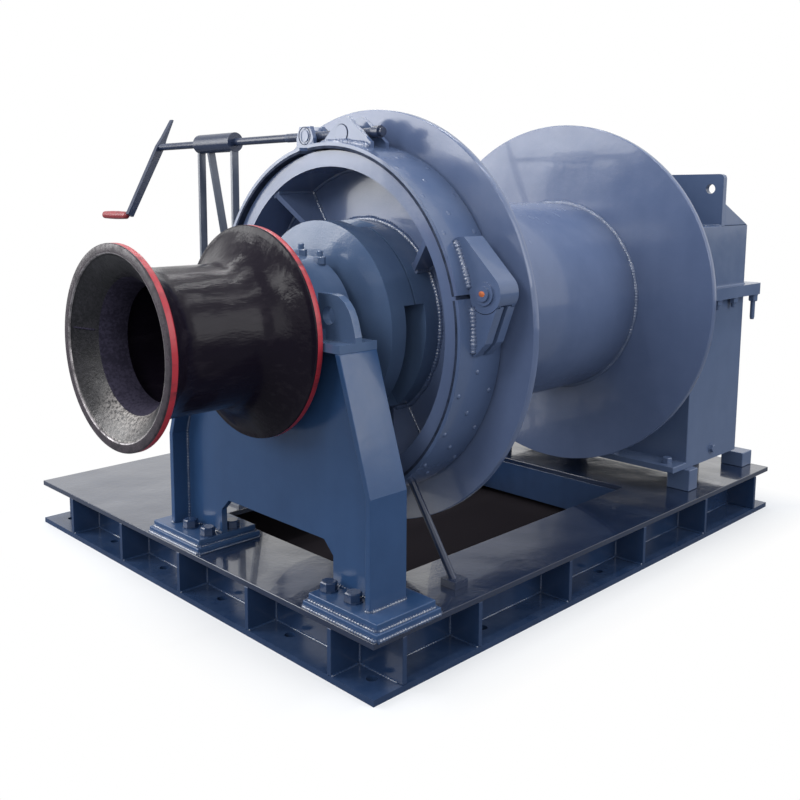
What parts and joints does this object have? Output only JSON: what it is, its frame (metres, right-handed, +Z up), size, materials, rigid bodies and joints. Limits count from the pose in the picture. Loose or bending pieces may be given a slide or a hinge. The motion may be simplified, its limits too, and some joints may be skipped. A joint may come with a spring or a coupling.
{
  "type": "hydraulic anchor winch",
  "caption": "Deck winch on a welded base: rope drum with band brake, warping head outside a pedestal bearing, jaw clutch, hand-cranked brake spindle and gearbox with hydraulic motor.",
  "frame": {"origin": "centre of the base frame's underside", "axes": "+Z up; X along the main shaft, with the warping head at -X and the gearbox at +X; the shaft lies on the -Y side of the base's middle and the brake crank is at +Y"},
  "size_m": [2.959, 2.139, 1.7097],
  "materials": {
    "base_paint": "gloss slate blue",
    "drum_paint": "gloss slate blue",
    "case_paint": "gloss slate blue",
    "head_black": "gloss black",
    "shaft_steel": "machined",
    "lining": "woven friction lining",
    "grip_red": "gloss red"
  },
  "bodies": {
    "frame": {"base_top_plate": "base_paint", "base_bottom_flange": "base_paint", "base_end_webs": "base_paint", "base_side_webs": "base_paint", "base_cross_webs": "base_paint", "base_end_stiffeners": "base_paint", "base_side_stiffeners": "base_paint", "pedestal_web": "base_paint", "pedestal_side_plates": "base_paint", "pedestal_pads": "base_paint", "pedestal_foot_plates": "base_paint", "bearing_housing": "base_paint", "bearing_cap": "base_paint", "shaft_covers": "base_paint", "lifting_eyes": "base_paint", "brake_bands": "drum_paint", "brake_linings": "lining", "band_hinge_lugs": "drum_paint", "band_hinge_pin": "drum_paint", "band_screw_lugs": "drum_paint", "screw_trunnions": "drum_paint", "band_strut": "drum_paint", "spindle_sleeve": "case_paint", "stand_legs": "case_paint", "stand_feet": "case_paint", "gearbox_lower_case": "case_paint", "gearbox_upper_case": "case_paint", "gearbox_split_flange": "case_paint", "lifting_plate": "case_paint", "lifting_gussets": "case_paint", "gearbox_feet": "case_paint", "hydraulic_motor": "case_paint"},
    "shaft_line": {"main_shaft": "shaft_steel", "warping_head": "head_black", "shaft_end_plate": "head_black"},
    "drum": {"drum_barrel": "drum_paint", "drum_flanges": "drum_paint", "brake_wheel": "drum_paint", "drum_hub_near": "drum_paint", "drum_hub_far": "drum_paint", "brake_wheel_ribs": "drum_paint"},
    "brake_screw": {"brake_spindle": "case_paint", "crank_arm": "case_paint", "crank_grip": "grip_red"},
    "clutch": {"clutch_hub": "drum_paint"}
  },
  "joints": [
    {"name": "shaft_turn", "type": "hinge", "parent": "frame", "child": "shaft_line", "pos_m": [-1.101, -0.424, 0.977], "axis": [1, 0, 0], "continuous": true},
    {"name": "drum_turn", "type": "hinge", "parent": "frame", "child": "drum", "pos_m": [-0.13, -0.424, 0.977], "axis": [1, 0, 0], "continuous": true},
    {"name": "brake_spindle_turn", "type": "hinge", "parent": "frame", "child": "brake_screw", "pos_m": [-0.79, 0.3, 1.594], "axis": [0, 1, 0], "continuous": true},
    {"name": "clutch_slide", "type": "slide", "parent": "shaft_line", "child": "clutch", "axis": [1, 0, 0], "range_m": [-0.034, 0]}
  ]
}
